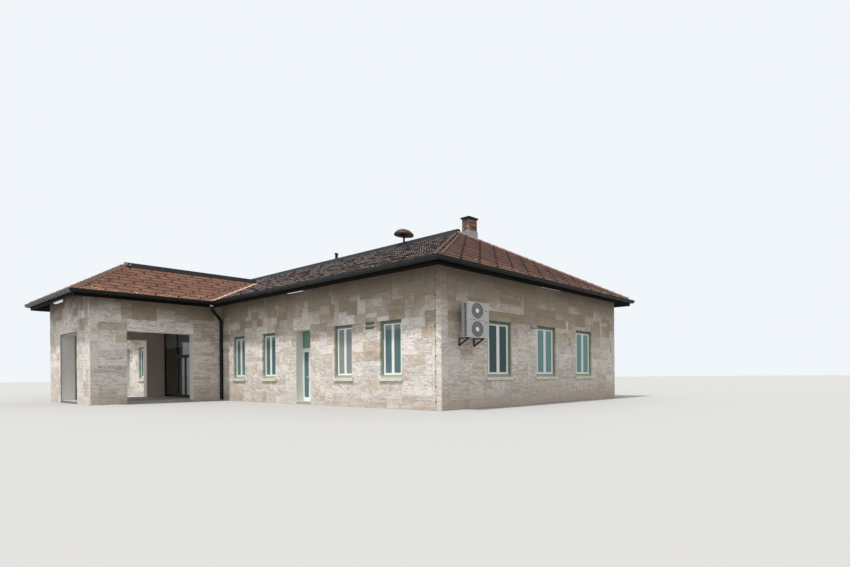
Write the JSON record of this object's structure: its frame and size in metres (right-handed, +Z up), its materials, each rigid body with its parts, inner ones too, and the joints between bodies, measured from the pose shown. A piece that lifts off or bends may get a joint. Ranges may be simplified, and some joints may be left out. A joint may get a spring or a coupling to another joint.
{
  "type": "railway station building",
  "caption": "Long one-storey stone-clad station with a hipped tile roof and a projecting open porch before a glazed entrance; hinged doors, windows in bays.",
  "frame": {"origin": "on the ground under the middle of the plan", "axes": "+Z up, -Y towards the street and the porch, +X along the building to the end with the air conditioner"},
  "size_m": [38.706, 15.826, 8.035],
  "materials": {
    "stone_cladding": "irregular courses of veined cream stone, honed",
    "roof_tiles": "brown-red interlocking clay tiles, matt",
    "hip_tiles": "rounded pinkish clay tiles, matt",
    "ridge_sheet": "dark slate-grey folded sheet, satin",
    "gutter_sheet": "anthracite coated sheet, satin",
    "floor_concrete": "grey paving, worn",
    "plaster": "smooth painted plaster",
    "green_lining": "sage green paint, satin",
    "white_sash": "white, slightly weathered",
    "window_glass": "teal insulating glass",
    "sill_stone": "pale honed stone",
    "screen_metal": "near-black powder coat",
    "brick": "patchy brown and orange brick",
    "grey_sheet": "weathered grey sheet",
    "siren_paint": "weathered brown paint",
    "unit_paint": "light cream powder coat",
    "guard_wire": "grey coated wire",
    "bracket_steel": "dark coated steel",
    "camera_case": "grey plastic",
    "lamp_cover": "white diffuser"
  },
  "bodies": {
    "building": {"front_wall_right": "stone_cladding", "front_wall_left": "stone_cladding", "end_wall_right": "stone_cladding", "end_wall_left": "stone_cladding", "rear_walls": "stone_cladding", "door_lintels": "stone_cladding", "porch_front_piers": "stone_cladding", "porch_rear_piers": "stone_cladding", "porch_lintels": "stone_cladding", "roof_front_right": "roof_tiles", "roof_front_left": "roof_tiles", "roof_rear": "roof_tiles", "roof_ends": "roof_tiles", "roof_porch_right": "roof_tiles", "roof_porch_left": "roof_tiles", "roof_porch_front": "roof_tiles", "hip_tiles": "hip_tiles", "ridge_caps": "ridge_sheet", "roof_vent": "ridge_sheet", "gutters_long": "gutter_sheet", "gutters_cross": "gutter_sheet", "downpipes": "gutter_sheet", "hall_floor": "floor_concrete", "porch_floor": "floor_concrete", "thresholds": "floor_concrete", "hall_ceiling": "plaster", "porch_ceiling": "plaster", "window_linings": "green_lining", "street_door_frames": "green_lining", "window_sashes": "white_sash", "window_glass": "window_glass", "entrance_screen_glass": "window_glass", "platform_screen_glass": "window_glass", "window_sills": "sill_stone", "entrance_screen": "screen_metal", "platform_screen": "screen_metal", "chimney_stack": "brick", "chimney_flashing": "grey_sheet", "chimney_cap": "bracket_steel", "ac_brackets": "bracket_steel", "siren": "siren_paint", "ac_unit": "unit_paint", "ac_fan_guards": "guard_wire", "wall_camera": "camera_case", "eaves_lamps": "lamp_cover"},
    "street_door_right_outer": {"street_door_right_outer_leaf": "white_sash", "street_door_right_outer_glass": "window_glass"},
    "street_door_right_inner": {"street_door_right_inner_leaf": "white_sash", "street_door_right_inner_glass": "window_glass"},
    "street_door_left_outer": {"street_door_left_outer_leaf": "white_sash", "street_door_left_outer_glass": "window_glass"},
    "street_door_left_inner": {"street_door_left_inner_leaf": "white_sash", "street_door_left_inner_glass": "window_glass"},
    "entrance_right": {"entrance_leaf_right": "screen_metal", "entrance_glass_right": "window_glass"},
    "entrance_left": {"entrance_leaf_left": "screen_metal", "entrance_glass_left": "window_glass"}
  },
  "joints": [
    {"name": "street_door_right_outer_hinge", "type": "hinge", "parent": "building", "child": "street_door_right_outer", "pos_m": [11.142, -2.384, 0], "axis": [0, 0, -1], "range_deg": [0, 90]},
    {"name": "street_door_right_inner_hinge", "type": "hinge", "parent": "building", "child": "street_door_right_inner", "pos_m": [10.068, -2.384, 0], "axis": [0, 0, 1], "range_deg": [0, 90]},
    {"name": "street_door_left_outer_hinge", "type": "hinge", "parent": "building", "child": "street_door_left_outer", "pos_m": [-11.142, -2.384, 0], "axis": [0, 0, 1], "range_deg": [0, 90]},
    {"name": "street_door_left_inner_hinge", "type": "hinge", "parent": "building", "child": "street_door_left_inner", "pos_m": [-10.068, -2.384, 0], "axis": [0, 0, -1], "range_deg": [0, 90]},
    {"name": "entrance_right_hinge", "type": "hinge", "parent": "building", "child": "entrance_right", "pos_m": [1.027, -3.126, 0], "axis": [0, 0, 1], "range_deg": [0, 90]},
    {"name": "entrance_left_hinge", "type": "hinge", "parent": "building", "child": "entrance_left", "pos_m": [-1.027, -3.126, 0], "axis": [0, 0, -1], "range_deg": [0, 90]}
  ]
}
